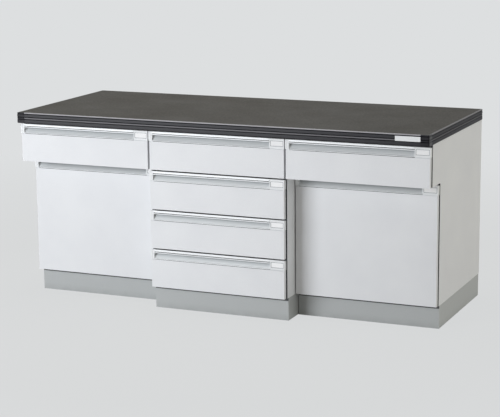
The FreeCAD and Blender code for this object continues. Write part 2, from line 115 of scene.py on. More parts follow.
def pressedMelamine(name, gapShades):
    finish, tree, place = startFinish(name)
    cloud = addNode(tree, "ShaderNodeTexNoise",
                    {"Vector": place, "Scale": perMetre(melamine["cloudMm"]), "Detail": 3.0})
    pearl = addNode(tree, "ShaderNodeTexNoise",
                    {"Vector": place, "Scale": perMetre(melamine["pearlMm"]), "Detail": 2.0})
    both = addNode(tree, "ShaderNodeMath", {0: cloud.outputs["Fac"], 1: pearl.outputs["Fac"]},
                   operation="MULTIPLY")
    amount = addNode(tree, "ShaderNodeMapRange",
                     {"Value": both.outputs[0], "From Min": melamine["cloudFrom"],
                      "From Max": melamine["cloudTo"]})
    tone = addNode(tree, "ShaderNodeMixRGB",
                   {"Fac": amount.outputs[0], "Color1": linear(melamine["cloud"]),
                    "Color2": linear(melamine["board"])})
    rough = addNode(tree, "ShaderNodeMapRange",
                    {"Value": pearl.outputs["Fac"], **noiseSpan,
                     "To Min": melamine["roughLow"], "To Max": melamine["roughHigh"]})
    bump = addNode(tree, "ShaderNodeBump",
                   {"Height": pearl.outputs["Fac"], "Strength": melamine["bump"],
                    "Distance": melamine["bumpMm"] * mm})
    # painted shade: the front edges below each given height are darkened, so the gaps between
    # fronts read as dark lines
    for frontMm, topMm in gapShades:
        at = addNode(tree, "ShaderNodeSeparateXYZ", {"Vector": place})
        front = addNode(tree, "ShaderNodeMath",
                        {0: at.outputs["Y"], 1: (frontMm + melamine["gapShadeMm"]) * mm},
                        operation="LESS_THAN")
        below = addNode(tree, "ShaderNodeMath", {0: at.outputs["Z"], 1: topMm * mm},
                        operation="LESS_THAN")
        edge = addNode(tree, "ShaderNodeMath", {0: front.outputs[0], 1: below.outputs[0]},
                       operation="MULTIPLY")
        tone = addNode(tree, "ShaderNodeMixRGB",
                       {"Fac": edge.outputs[0], "Color1": tone.outputs[0],
                        "Color2": linear(melamine["gapShade"])})
    closeFinish(tree, {"Base Color": tone.outputs[0], "Roughness": rough.outputs[0],
                       "Normal": bump.outputs[0], "IOR": melamine["ior"]})
    return finish


# Aluminium drawn through a die and anodised natural: silver, satin, with faint streaks along its
# length. The lip has its own tone, nearly the silver, and the finger recess is painted darker the
# deeper it goes, as painted shade.
# The die lines are about 0.1 mm wide, drawn at 0.7 mm so that they show.
grip = {"lip": "#e6e8e9", "silver": "#e6e9ea", "recessShade": "#bdc1c3", "streak": 0.1,
        "streakMm": (260, 0.7, 0.7), "roughLow": 0.42, "roughHigh": 0.56, "metal": 0.3,
        "bump": 0.08, "bumpMm": 0.1, "lipDeepMm": 0.6, "recessDeepMm": 14,
        "drawerFaceMm": -347, "doorFaceMm": -242}


def drawnAluminium(name, faceMm):  # the front's face is at that Y
    finish, tree, place = startFinish(name)
    stretch = addNode(tree, "ShaderNodeMapping",
                      {"Vector": place, "Scale": perMetreXyz(grip["streakMm"])})
    streak = addNode(tree, "ShaderNodeTexNoise",
                     {"Vector": stretch.outputs[0], "Scale": 1.0, "Detail": 3.0})
    back = addNode(tree, "ShaderNodeSeparateXYZ", {"Vector": place}).outputs["Y"]
    lipBack = (faceMm + grip["lipDeepMm"]) * mm
    # painted shade: the recess tone goes from silver towards a darker grey as Y goes deeper into
    # the recess
    recessShade = addNode(tree, "ShaderNodeMapRange",
                   {"Value": back, "From Min": lipBack,
                    "From Max": (faceMm + grip["recessDeepMm"]) * mm})
    front = addNode(tree, "ShaderNodeMapRange",
                    {"Value": back, "From Min": lipBack,
                     "From Max": (faceMm - grip["lipDeepMm"]) * mm})
    recess = addNode(tree, "ShaderNodeMixRGB",
                     {"Fac": recessShade.outputs[0], "Color1": linear(grip["silver"]),
                      "Color2": linear(grip["recessShade"])})
    tone = addNode(tree, "ShaderNodeMixRGB",
                   {"Fac": front.outputs[0], "Color1": recess.outputs[0],
                    "Color2": linear(grip["lip"])})
    dull = addNode(tree, "ShaderNodeMapRange",
                   {"Value": streak.outputs["Fac"], **noiseSpan, "To Min": 1 - grip["streak"]})
    streaked = addNode(tree, "ShaderNodeMixRGB",
                       {"Fac": 1.0, "Color1": tone.outputs[0], "Color2": dull.outputs[0]},
                       blend_type="MULTIPLY")
    rough = addNode(tree, "ShaderNodeMapRange",
                    {"Value": streak.outputs["Fac"], **noiseSpan,
                     "To Min": grip["roughLow"], "To Max": grip["roughHigh"]})
    bump = addNode(tree, "ShaderNodeBump",
                   {"Height": streak.outputs["Fac"], "Strength": grip["bump"],
                    "Distance": grip["bumpMm"] * mm})
    closeFinish(tree, {"Base Color": streaked.outputs[0], "Metallic": grip["metal"],
                       "Roughness": rough.outputs[0], "Normal": bump.outputs[0]})
    return finish


# Small plastic pieces: ABS and acetal moulded in a spark-eroded tool, and a grey sheet and a dark
# strip, which are painted shade where the label pockets and the grip grooves are only shaded. One
# even tone each, with a fine grain that keeps highlights soft. Each finish has a pale and a shaded
# tone.
plastic = {"absMouldedPaleGrey": ("#eceeef", "#e2e5e7"), "absShadeSheetGrey": ("#9da2a5", "#92979a"),
           "pvcShadeStripDarkGrey": ("#34383b", "#2e3235"),
           "acetalMouldedBlack": ("#2a2c2e", "#222426"),
           "grainMm": 0.9, "roughLow": 0.34, "roughHigh": 0.46, "bump": 0.1, "bumpMm": 0.1,
           "ior": 1.54}


def grainedPlastic(name):
    finish, tree, place = startFinish(name)
    pale, shade = plastic[name]
    grain = addNode(tree, "ShaderNodeTexNoise",
                    {"Vector": place, "Scale": perMetre(plastic["grainMm"]), "Detail": 2.0})
    tone = addNode(tree, "ShaderNodeMixRGB",
                   {"Fac": grain.outputs["Fac"], "Color1": linear(shade), "Color2": linear(pale)})
    rough = addNode(tree, "ShaderNodeMapRange",
                    {"Value": grain.outputs["Fac"], **noiseSpan,
                     "To Min": plastic["roughLow"], "To Max": plastic["roughHigh"]})
    bump = addNode(tree, "ShaderNodeBump",
                   {"Height": grain.outputs["Fac"], "Strength": plastic["bump"],
                    "Distance": plastic["bumpMm"] * mm})
    closeFinish(tree, {"Base Color": tone.outputs[0], "Roughness": rough.outputs[0],
                       "Normal": bump.outputs[0], "IOR": plastic["ior"]})
    return finish


# Particle board wrapped in a printed foil: a pale warm grain running front to back, silky.
boxBoard = {"pale": "#dedbd3", "grain": "#cbc6bb", "grainMm": (5.0, 140, 5.0), "waver": 0.4,
            "sharpFrom": 0.35, "sharpTo": 0.62, "rough": 0.5, "bump": 0.08, "bumpMm": 0.2,
            "ior": 1.5}


def foilWrappedBoard():
    finish, tree, place = startFinish("boardFoilWrappedPale")
    stretch = addNode(tree, "ShaderNodeMapping",
                      {"Vector": place, "Scale": perMetreXyz(boxBoard["grainMm"])})
    grain = addNode(tree, "ShaderNodeTexNoise",
                    {"Vector": stretch.outputs[0], "Scale": 1.0, "Detail": 5.0,
                     "Distortion": boxBoard["waver"]})
    sharp = addNode(tree, "ShaderNodeMapRange",
                    {"Value": grain.outputs["Fac"], "From Min": boxBoard["sharpFrom"],
                     "From Max": boxBoard["sharpTo"]})
    tone = addNode(tree, "ShaderNodeMixRGB",
                   {"Fac": sharp.outputs[0], "Color1": linear(boxBoard["grain"]),
                    "Color2": linear(boxBoard["pale"])})
    bump = addNode(tree, "ShaderNodeBump",
                   {"Height": grain.outputs["Fac"], "Strength": boxBoard["bump"],
                    "Distance": boxBoard["bumpMm"] * mm})
    closeFinish(tree, {"Base Color": tone.outputs[0], "Roughness": boxBoard["rough"],
                       "Normal": bump.outputs[0], "IOR": boxBoard["ior"]})
    return finish


# Cold rolled steel, zinc plated and clear passivated: bright grey with a faint blue and straw cast
# and rolling lines front to back.
slide = {"blue": "#b9c3cb", "straw": "#c9c6b9", "castMm": 45, "lineMm": (0.8, 120, 0.8),
         "roughLow": 0.26, "roughHigh": 0.42, "bump": 0.08, "bumpMm": 0.1}


def zincPlatedSteel():
    finish, tree, place = startFinish("steelRolledZincPlated")
    cast = addNode(tree, "ShaderNodeTexNoise",
                   {"Vector": place, "Scale": perMetre(slide["castMm"]), "Detail": 2.0})
    stretch = addNode(tree, "ShaderNodeMapping",
                      {"Vector": place, "Scale": perMetreXyz(slide["lineMm"])})
    line = addNode(tree, "ShaderNodeTexNoise",
                   {"Vector": stretch.outputs[0], "Scale": 1.0, "Detail": 2.0})
    tone = addNode(tree, "ShaderNodeMixRGB",
                   {"Fac": cast.outputs["Fac"], "Color1": linear(slide["blue"]),
                    "Color2": linear(slide["straw"])})
    rough = addNode(tree, "ShaderNodeMapRange",
                    {"Value": line.outputs["Fac"], **noiseSpan,
                     "To Min": slide["roughLow"], "To Max": slide["roughHigh"]})
    bump = addNode(tree, "ShaderNodeBump",
                   {"Height": line.outputs["Fac"], "Strength": slide["bump"],
                    "Distance": slide["bumpMm"] * mm})
    closeFinish(tree, {"Base Color": tone.outputs[0], "Metallic": 1.0,
                       "Roughness": rough.outputs[0], "Normal": bump.outputs[0]})
    return finish


# Pressed steel, nickel plated: a warm silver, smoother than zinc, with slight handling haze.
hinge = {"nickel": "#cdc8be", "haze": "#bdb8ae", "hazeMm": 9, "roughLow": 0.18, "roughHigh": 0.32}


def nickelPlatedSteel():
    finish, tree, place = startFinish("steelPressedNickelPlated")
    haze = addNode(tree, "ShaderNodeTexNoise",
                   {"Vector": place, "Scale": perMetre(hinge["hazeMm"]), "Detail": 4.0})
    tone = addNode(tree, "ShaderNodeMixRGB",
                   {"Fac": haze.outputs["Fac"], "Color1": linear(hinge["haze"]),
                    "Color2": linear(hinge["nickel"])})
    rough = addNode(tree, "ShaderNodeMapRange",
                    {"Value": haze.outputs["Fac"], **noiseSpan,
                     "To Min": hinge["roughLow"], "To Max": hinge["roughHigh"]})
    closeFinish(tree, {"Base Color": tone.outputs[0], "Metallic": 1.0,
                       "Roughness": rough.outputs[0]})
    return finish


# Plinth boards faced with grey laminate: flat mid grey, fine grain, a little scuffed near the
# floor. The top of the front board's face is painted dark, as painted shade, which shows as a fine
# shadow line under the fronts.
plinth = {"grey": "#adb1b1", "light": "#b6b9b9", "scuff": "#a0a3a2", "grainMm": 2.0,
          "scuffMm": 35, "scuffHighMm": 30, "rough": 0.5, "bump": 0.06, "bumpMm": 0.2, "ior": 1.5,
          "shadeLine": "#3f4243", "shadeLineFromMm": 81.0, "shadeLineFullMm": 82.2, "shadeLineDeepMm": 1,
          "outerFrontMm": -203, "centreFrontMm": -308}


def greyPlinthLaminate(name, frontMm):  # the front board's face is at that Y
    finish, tree, place = startFinish(name)
    grain = addNode(tree, "ShaderNodeTexNoise",
                    {"Vector": place, "Scale": perMetre(plinth["grainMm"]), "Detail": 2.0})
    scuff = addNode(tree, "ShaderNodeTexNoise",
                    {"Vector": place, "Scale": perMetre(plinth["scuffMm"]), "Detail": 5.0})
    at = addNode(tree, "ShaderNodeSeparateXYZ", {"Vector": place})
    low = addNode(tree, "ShaderNodeMapRange",
                  {"Value": at.outputs["Z"], "From Min": 0.0,
                   "From Max": plinth["scuffHighMm"] * mm, "To Min": 1.0, "To Max": 0.0})
    worn = addNode(tree, "ShaderNodeMath", {0: low.outputs[0], 1: scuff.outputs["Fac"]},
                   operation="MULTIPLY")
    tone = addNode(tree, "ShaderNodeMixRGB",
                   {"Fac": grain.outputs["Fac"], "Color1": linear(plinth["grey"]),
                    "Color2": linear(plinth["light"])})
    marked = addNode(tree, "ShaderNodeMixRGB",
                     {"Fac": worn.outputs[0], "Color1": tone.outputs[0],
                      "Color2": linear(plinth["scuff"])})
    # painted shade: the top of the front face is darkened into a fine line, as the shadow under the
    # fronts
    shadeLine = addNode(tree, "ShaderNodeMapRange",
                   {"Value": at.outputs["Z"], "From Min": plinth["shadeLineFromMm"] * mm,
                    "From Max": plinth["shadeLineFullMm"] * mm})
    front = addNode(tree, "ShaderNodeMath",
                    {0: at.outputs["Y"], 1: (frontMm + plinth["shadeLineDeepMm"]) * mm},
                    operation="LESS_THAN")
    share = addNode(tree, "ShaderNodeMath", {0: shadeLine.outputs[0], 1: front.outputs[0]},
                    operation="MULTIPLY")
    shadeLined = addNode(tree, "ShaderNodeMixRGB",
                     {"Fac": share.outputs[0], "Color1": marked.outputs[0],
                      "Color2": linear(plinth["shadeLine"])})
    bump = addNode(tree, "ShaderNodeBump",
                   {"Height": grain.outputs["Fac"], "Strength": plinth["bump"],
                    "Distance": plinth["bumpMm"] * mm})
    closeFinish(tree, {"Base Color": shadeLined.outputs[0], "Roughness": plinth["rough"],
                       "Normal": bump.outputs[0], "IOR": plinth["ior"]})
    return finish


# Hardboard with a rolled coat of white paint: slightly warm, with a faint fibre mottle.
backBoard = {"paint": "#dcdcd8", "mottle": "#cfcfca", "fibreMm": 4.0, "waver": 0.8,
             "rough": 0.55, "bump": 0.1, "bumpMm": 0.2, "ior": 1.5}


def paintedHardboard():
    finish, tree, place = startFinish("hardboardPaintedWhite")
    fibre = addNode(tree, "ShaderNodeTexNoise",
                    {"Vector": place, "Scale": perMetre(backBoard["fibreMm"]), "Detail": 4.0,
                     "Distortion": backBoard["waver"]})
    tone = addNode(tree, "ShaderNodeMixRGB",
                   {"Fac": fibre.outputs["Fac"], "Color1": linear(backBoard["mottle"]),
                    "Color2": linear(backBoard["paint"])})
    bump = addNode(tree, "ShaderNodeBump",
                   {"Height": fibre.outputs["Fac"], "Strength": backBoard["bump"],
                    "Distance": backBoard["bumpMm"] * mm})
    closeFinish(tree, {"Base Color": tone.outputs[0], "Roughness": backBoard["rough"],
                       "Normal": bump.outputs[0], "IOR": backBoard["ior"]})
    return finish


# Cast polyurethane stops: clear and soft, a little milky.
bumper = {"milky": "#e9e9e6", "cloud": "#dcdcd6", "cloudMm": 3, "rough": 0.3, "ior": 1.5,
          "clear": 0.6}


def castRubber():
    finish, tree, place = startFinish("polyurethaneCastClear")
    cloud = addNode(tree, "ShaderNodeTexNoise",
                    {"Vector": place, "Scale": perMetre(bumper["cloudMm"])})
    tone = addNode(tree, "ShaderNodeMixRGB",
                   {"Fac": cloud.outputs["Fac"], "Color1": linear(bumper["cloud"]),
                    "Color2": linear(bumper["milky"])})
    closeFinish(tree, {"Base Color": tone.outputs[0], "Roughness": bumper["rough"],
                       "IOR": bumper["ior"], "Transmission Weight": bumper["clear"]})
    return finish


# Chemical proof laminate on board: a warm near-black grey with fine lighter and darker grit, matt
# because its face is pressed with a grained plate. The grit is under 1 mm, drawn at 7 mm to show.
worktop = {"ground": "#3e3b34", "light": "#5c5850", "dark": "#282621", "gritMm": 7.0,
           "gritRough": 0.7, "gritShare": 0.8, "lightFrom": 0.52, "lightFull": 0.68,
           "darkFrom": 0.46, "darkFull": 0.32, "cloudMm": 220, "roughLow": 0.51,
           "roughHigh": 0.59, "gloss": 0.12, "bump": 0.12, "bumpMm": 0.2, "ior": 1.5}


def darkLaminate():
    finish, tree, place = startFinish("laminatePressedDark")
    grit = addNode(tree, "ShaderNodeTexNoise",
                   {"Vector": place, "Scale": perMetre(worktop["gritMm"]), "Detail": 3.0,
                    "Roughness": worktop["gritRough"]})
    cloud = addNode(tree, "ShaderNodeTexNoise",
                    {"Vector": place, "Scale": perMetre(worktop["cloudMm"]), "Detail": 2.0})
    tone = linear(worktop["ground"])
    for speck in ("light", "dark"):
        share = addNode(tree, "ShaderNodeMapRange",
                        {"Value": grit.outputs["Fac"], "From Min": worktop[speck + "From"],
                         "From Max": worktop[speck + "Full"], "To Max": worktop["gritShare"]})
        tone = addNode(tree, "ShaderNodeMixRGB",
                       {"Fac": share.outputs[0], "Color1": tone,
                        "Color2": linear(worktop[speck])}).outputs[0]
    rough = addNode(tree, "ShaderNodeMapRange",
                    {"Value": cloud.outputs["Fac"], **noiseSpan,
                     "To Min": worktop["roughLow"], "To Max": worktop["roughHigh"]})
    bump = addNode(tree, "ShaderNodeBump",
                   {"Height": grit.outputs["Fac"], "Strength": worktop["bump"],
                    "Distance": worktop["bumpMm"] * mm})
    closeFinish(tree, {"Base Color": tone, "Roughness": rough.outputs[0],
                       "Normal": bump.outputs[0], "IOR": worktop["ior"],
                       "Specular IOR Level": worktop["gloss"]})
    return finish


# PVC extruded in one ribbed section: charcoal, satin, with faint level lines from the die. A
# painted highlight makes its top lip paler, and a weaker painted highlight lies on its middle rib.
# The die lines are about 0.2 mm, drawn at 0.9 mm so that they show. Each finish has a share of the
# painted highlight and a gloss: the side edgings get less painted highlight and are duller than the
# front one, and the moulded corner caps have no painted highlight.
edging = {"charcoal": "#121116", "line": "#1b1a20", "lineMm": (300, 300, 0.9), "lip": "#a8a7ab",
          "lipHighlightFromMm": 796.0, "lipHighlightFullMm": 797.0, "ribMm": 775.9, "ribHalfMm": 2.4,
          "ribHighlightShare": 0.3, "roughLow": 0.28, "roughHigh": 0.36, "bump": 0.1, "bumpMm": 0.1,
          "ior": 1.53, "pvcExtrudedCharcoal": (1.0, 0.25), "pvcMouldedCharcoal": (0.0, 0.16),
          "pvcExtrudedCharcoalSide": (0.65, 0.04)}


def edgingPlastic(name):
    finish, tree, place = startFinish(name)
    highlightShare, gloss = edging[name]
    stretch = addNode(tree, "ShaderNodeMapping",
                      {"Vector": place, "Scale": perMetreXyz(edging["lineMm"])})
    line = addNode(tree, "ShaderNodeTexNoise",
                   {"Vector": stretch.outputs[0], "Scale": 1.0, "Detail": 2.0})
    lined = addNode(tree, "ShaderNodeMixRGB",
                    {"Fac": line.outputs["Fac"], "Color1": linear(edging["charcoal"]),
                     "Color2": linear(edging["line"])})
    height = addNode(tree, "ShaderNodeSeparateXYZ", {"Vector": place}).outputs["Z"]
    # painted highlight: the top lip and the middle rib are made paler by height, by each finish's
    # share
    lip = addNode(tree, "ShaderNodeMapRange",
                  {"Value": height, "From Min": edging["lipHighlightFromMm"] * mm,
                   "From Max": edging["lipHighlightFullMm"] * mm, "To Max": highlightShare})
    middle = addNode(tree, "ShaderNodeMath",
                     {0: height, 1: edging["ribMm"] * mm, 2: edging["ribHalfMm"] * mm},
                     operation="COMPARE")
    ribHighlight = addNode(tree, "ShaderNodeMath",
                  {0: middle.outputs[0], 1: edging["ribHighlightShare"] * highlightShare}, operation="MULTIPLY")
    pale = addNode(tree, "ShaderNodeMath", {0: lip.outputs[0], 1: ribHighlight.outputs[0]},
                   operation="MAXIMUM")
    tone = addNode(tree, "ShaderNodeMixRGB",
                   {"Fac": pale.outputs[0], "Color1": lined.outputs[0],
                    "Color2": linear(edging["lip"])})
    rough = addNode(tree, "ShaderNodeMapRange",
                    {"Value": line.outputs["Fac"], **noiseSpan,
                     "To Min": edging["roughLow"], "To Max": edging["roughHigh"]})
    bump = addNode(tree, "ShaderNodeBump",
                   {"Height": line.outputs["Fac"], "Strength": edging["bump"],
                    "Distance": edging["bumpMm"] * mm})
    closeFinish(tree, {"Base Color": tone.outputs[0], "Roughness": rough.outputs[0],
                       "Normal": bump.outputs[0], "IOR": edging["ior"],
                       "Specular IOR Level": gloss})
    return finish


# Coated card, cut with a die: bright white, quite matt, with a faint fibre.
paper = {"white": "#fbfcfd", "fibre": "#f4f5f6", "fibreMm": 1.5, "rough": 0.65, "bump": 0.08,
         "bumpMm": 0.05, "ior": 1.45}


def coatedCard():
    finish, tree, place = startFinish("cardCoatedWhite")
    fibre = addNode(tree, "ShaderNodeTexNoise",
                    {"Vector": place, "Scale": perMetre(paper["fibreMm"]), "Detail": 4.0})
    tone = addNode(tree, "ShaderNodeMixRGB",
                   {"Fac": fibre.outputs["Fac"], "Color1": linear(paper["fibre"]),
                    "Color2": linear(paper["white"])})
    bump = addNode(tree, "ShaderNodeBump",
                   {"Height": fibre.outputs["Fac"], "Strength": paper["bump"],
                    "Distance": paper["bumpMm"] * mm})
    closeFinish(tree, {"Base Color": tone.outputs[0], "Roughness": paper["rough"],
                       "Normal": bump.outputs[0], "IOR": paper["ior"]})
    return finish


finishes = {  # one for each material slot of the record
    "white_melamine_board": pressedMelamine("melaminePressedWhite", []),
    "anodised_aluminium": drawnAluminium("aluminiumDrawnAnodised", grip["drawerFaceMm"]),
    "moulded_end_plastic": grainedPlastic("absMouldedPaleGrey"),
    "drawer_box_board": foilWrappedBoard(),
    "zinc_plated_steel": zincPlatedSteel(),
    "nickel_plated_steel": nickelPlatedSteel(),
    "grey_plinth_board": greyPlinthLaminate("laminatePlinthGrey", plinth["outerFrontMm"]),
    "white_hardboard": paintedHardboard(),
    "clear_rubber": castRubber(),
    "dark_laminate_board": darkLaminate(),
    "dark_grey_edging": edgingPlastic("pvcExtrudedCharcoal"),
}
steppedBoard = pressedMelamine("melamineGapShadedStep", [melamine["upperGapShade"], melamine["doorGapShade"]])
doorGrip = drawnAluminium("aluminiumDrawnAnodisedDoor", grip["doorFaceMm"])
ownFinishes = {  # nodes that differ from their slot
    "worktop_corner_caps": edgingPlastic("pvcMouldedCharcoal"),
    "worktop_side_edgings": edgingPlastic("pvcExtrudedCharcoalSide"),
    "centre_plinth": greyPlinthLaminate("laminatePlinthGreyCentre", plinth["centreFrontMm"]),
    "centre_carcass": pressedMelamine("melamineGapShadedFront", [melamine["upperGapShade"]]),
    "left_carcass": steppedBoard,
    "right_carcass": steppedBoard,
    "left_door_handle": doorGrip,
    "right_door_handle": doorGrip,
}
cardWhite = coatedCard()
pocketShadeGrey = grainedPlastic("absShadeSheetGrey")
shadeStripGrey = grainedPlastic("pvcShadeStripDarkGrey")
leverBlack = grainedPlastic("acetalMouldedBlack")

for row in frame["record"]["subparts"]:
    for slot in frame["nodes"][row["node"]].material_slots:
        slot.material = ownFinishes.get(row["node"], finishes[row["material_slot"]])

fronts = ["left_drawer", "right_drawer", "left_door", "right_door"]
fronts += [f"centre_drawer_{row}" for row in (1, 2, 3, 4)]
drawers = [front for front in fronts if "drawer" in front]


def addPiece(name, points, faces, body, slot, finish=None):  # a mesh at the origin, on a body
    mesh = bpy.data.meshes.new(name)
    mesh.from_pydata(points.tolist(), [], faces)
    mesh.materials.append(finish or finishes[slot])
    mesh.update()
    piece = bpy.data.objects.new(name, mesh)
    bpy.context.scene.collection.objects.link(piece)
    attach(piece, body)


# Quads between neighbouring rings of points, with the last and the first ring closed flat, for one
# shape or for copies of it whose points follow each other.
def ringFaces(rings, count, copies=1):
    ring, step = np.meshgrid(np.arange(rings - 1), np.arange(count), indexing="ij")
    after = (step + 1) % count
    quads = np.stack([ring * count + step, ring * count + after,
                      (ring + 1) * count + after, (ring + 1) * count + step], -1).reshape(-1, 4)
    top = np.arange((rings - 1) * count, rings * count)
    underside = np.arange(count)[::-1]
    shift = np.arange(copies)[:, None] * rings * count
    sides = (quads + shift[:, :, None]).reshape(-1, 4)
    return sides.tolist() + (top + shift).tolist() + (underside + shift).tolist()


# A rounded rectangle as a function of the angle round it (a corner centre plus the corner radius
# times cosine and sine), carried up through three layers of inset and lift: the seat, the top of
# the straight side, and the face, which is inset by the soft edge.
def roundedPlate(width, height, radius, seat, thick, soft):
    cornerSteps = 5  # points round each corner
    quarter = np.linspace(0, math.pi / 2, cornerSteps)
    angle = (quarter[None, :] + np.arange(4)[:, None] * math.pi / 2).ravel()
    signX = np.repeat([1, -1, -1, 1], cornerSteps)
    signY = np.repeat([1, 1, -1, -1], cornerSteps)
    inset, lift = np.array([(0, seat), (0, thick - soft), (soft, thick)]).T[:, :, None]
    across = signX * (width / 2 - radius) + (radius - inset) * np.cos(angle)
    up = signY * (height / 2 - radius) + (radius - inset) * np.sin(angle)
    points = np.stack([across, up, np.broadcast_to(lift, across.shape)], -1)
    return points.reshape(-1, 3), ringFaces(*across.shape)


def frontFacing(points, x, y, z):  # across to +X, up to +Z, lift towards the front
    return np.stack([x + points[:, 0], y - points[:, 2], z + points[:, 1]], -1)


def sideFacing(points, x, y, z, side):  # lift towards that side of X, up to +Z
    return np.stack([x + side * points[:, 2], y + side * points[:, 0], z + points[:, 1]], -1)


# White cards in the label holders, one for each front, each on a grey sheet that shows round it as
# a frame: painted shade, where the pocket round the card is only shaded.
label = {"pocketWide": 55 * mm, "pocketHigh": 23 * mm, "pocketDeep": 1.6 * mm,
         "fromRight": 4.0 * mm, "fromTop": 9.0 * mm, "corner": 1.2 * mm, "soft": 0.08 * mm,
         "seat": 0.02 * mm, "frameClear": 0.1 * mm, "frameThick": 0.25 * mm,
         "cardClear": 2.0 * mm, "cardThick": 0.6 * mm}


def labelCard(front):
    low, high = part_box(front + "_handle_ends")
    x = high.x - label["fromRight"] - label["pocketWide"] / 2
    z = high.z - label["fromTop"] - label["pocketHigh"] / 2
    sheets = (("frame", "_card_frame", pocketShadeGrey), ("card", "_card", cardWhite))
    for sheet, suffix, finish in sheets:
        clear = label[sheet + "Clear"]
        points, faces = roundedPlate(
            label["pocketWide"] - 2 * clear, label["pocketHigh"] - 2 * clear, label["corner"],
            label["seat"], label[sheet + "Thick"], label["soft"])
        points = frontFacing(points, x, low.y + label["pocketDeep"], z)
        addPiece(front + suffix, points, faces, front, "moulded_end_plastic", finish)


for front in fronts:
    labelCard(front)
print("label cards:", len(fronts))

# Dark strips at the bottom of the two grooves of a grip, as painted shade: the line below its lip,
# and the joint between the grip and the board. From the front they read as fine dark lines of
# shadow.
shade_strip = {"lipTop": 8.6 * mm, "lipHigh": 3.2 * mm, "lipFloor": 4.0 * mm,
         "jointTop": 40.0 * mm, "jointHigh": 2.8 * mm, "jointFloor": 6.0 * mm,
         "clear": 0.1 * mm, "endClear": 0.5 * mm, "seat": 0.02 * mm, "thick": 0.5 * mm,
         "soft": 0.1 * mm, "corner": 0.5 * mm}


def grooveShadeStrips(front):
    low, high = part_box(front + "_handle")
    for groove in ("lip", "joint"):
        z = high.z - shade_strip[groove + "Top"] - shade_strip[groove + "High"] / 2
        points, faces = roundedPlate(
            high.x - low.x - 2 * shade_strip["endClear"], shade_strip[groove + "High"] - 2 * shade_strip["clear"],
            shade_strip["corner"], shade_strip["seat"], shade_strip["thick"], shade_strip["soft"])
        points = frontFacing(points, (low.x + high.x) / 2, low.y + shade_strip[groove + "Floor"], z)
        addPiece(f"{front}_{groove}_strip", points, faces, front, "moulded_end_plastic", shadeStripGrey)


for front in fronts:
    grooveShadeStrips(front)
print("groove strips:", 2 * len(fronts))

# A blank plate on the front edging near the right end, thin with a soft rim. Its back is sunk a
# little into the ribs, so that no gap shows.
plate = {"left": 763 * mm, "right": 865 * mm, "top": 792 * mm, "high": 19.5 * mm,
         "corner": 2.0 * mm, "seat": -0.3 * mm, "thick": 0.48 * mm, "soft": 0.2 * mm}


def blankPlate():
    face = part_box("worktop_front_edging")[0].y
    points, faces = roundedPlate(plate["right"] - plate["left"], plate["high"], plate["corner"],
                                 plate["seat"], plate["thick"], plate["soft"])
    points = frontFacing(points, (plate["left"] + plate["right"]) / 2, face,
                         plate["top"] - plate["high"] / 2)
    addPiece("blank_plate", points, faces, "bench", "moulded_end_plastic")


blankPlate()
print("blank plate")

# Pan head screws. The head is a surface of revolution: its height is the rim's plus a low dome
# that falls with the square of the radius. The first ring is its foot, a little below the surface.
# The points of the inner rings that lie on the two axes are sunk by the recess, which makes the
# cross.
screw = {"radius": 3.6 * mm, "foot": -0.2 * mm, "rim": 0.9 * mm, "dome": 1.0 * mm,
         "recess": 0.9 * mm, "sides": 16, "rings": (1.0, 1.0, 0.86, 0.56, 0.3), "sunkFrom": 3}


def screwHead():
    turn = np.arange(screw["sides"]) * 2 * math.pi / screw["sides"]
    share = np.array(screw["rings"])[:, None]
    lift = np.repeat(screw["rim"] + screw["dome"] * (1 - share ** 2), screw["sides"], 1)
    lift[0] = screw["foot"]
    lift[screw["sunkFrom"]:, ::screw["sides"] // 4] -= screw["recess"]
    reach = screw["radius"] * share
    return np.stack([reach * np.cos(turn), reach * np.sin(turn), lift], -1).reshape(-1, 3)


def screwRow(name, places, outwards, body, slot):  # the screws of one row in one mesh
    turn = np.array(Vector(outwards).to_track_quat("Z", "Y").to_matrix())
    heads = screwHead() @ turn.T + np.array(places)[:, None]
    faces = ringFaces(len(screw["rings"]), screw["sides"], len(places))
    addPiece(name, heads.reshape(-1, 3), faces, body, slot)


# The backs are screwed to the rails and boards in front of them, the drawer fronts from inside
# their boxes, and the hinges to the side panels and the doors.
fixing = {"backShares": (0.08, 0.36, 0.64, 0.92),
          "backHeightsMm": {"left": (104, 598.75, 746), "centre": (104, 746),
                            "right": (104, 598.75, 746)},
          "boxShares": (0.12, 0.5, 0.88), "boxHeightsMm": (38, 72), "boxBoardMm": 12,
          "hingeHeightsMm": (192, 449.75), "plateAtMm": (876.75, -178), "plateSideMm": 12.5,
          "cupAtMm": (875.5, -224), "cupSideMm": 25.5}


def backScrews():
    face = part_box("back_panels")[1].y
    places = []
    for cabinet, heights in fixing["backHeightsMm"].items():
        low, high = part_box(cabinet + "_carcass")
        places += [(low.x + share * (high.x - low.x), face, height * mm)
                   for share in fixing["backShares"] for height in heights]
    screwRow("back_screws", places, (0, 1, 0), "bench", "zinc_plated_steel")


def boxScrews(drawer):
    low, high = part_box(drawer + "_box")
    inner = low.y + fixing["boxBoardMm"] * mm
    places = [(low.x + share * (high.x - low.x), inner, low.z + height * mm)
              for share in fixing["boxShares"] for height in fixing["boxHeightsMm"]]
    screwRow(drawer + "_front_screws", places, (0, 1, 0), drawer, "zinc_plated_steel")


def hingeScrews(door, side):  # the plate's screws stay on the bench, the cup's go with the door
    rows = (("plate", (-side, 0, 0), "bench"), ("cup", (0, 1, 0), door))
    for foot, outwards, body in rows:
        x, y = fixing[foot + "AtMm"]
        places = [(side * x * mm, y * mm, (height + turn * fixing[foot + "SideMm"]) * mm)
                  for height in fixing["hingeHeightsMm"] for turn in (-1, 1)]
        screwRow(f"{door}_{foot}_screws", places, outwards, body, "nickel_plated_steel")


backScrews()
for drawer in drawers:
    boxScrews(drawer)
hingeScrews("left_door", -1)
hingeScrews("right_door", 1)
print("screws: backs,", len(drawers), "drawer fronts and 2 doors")

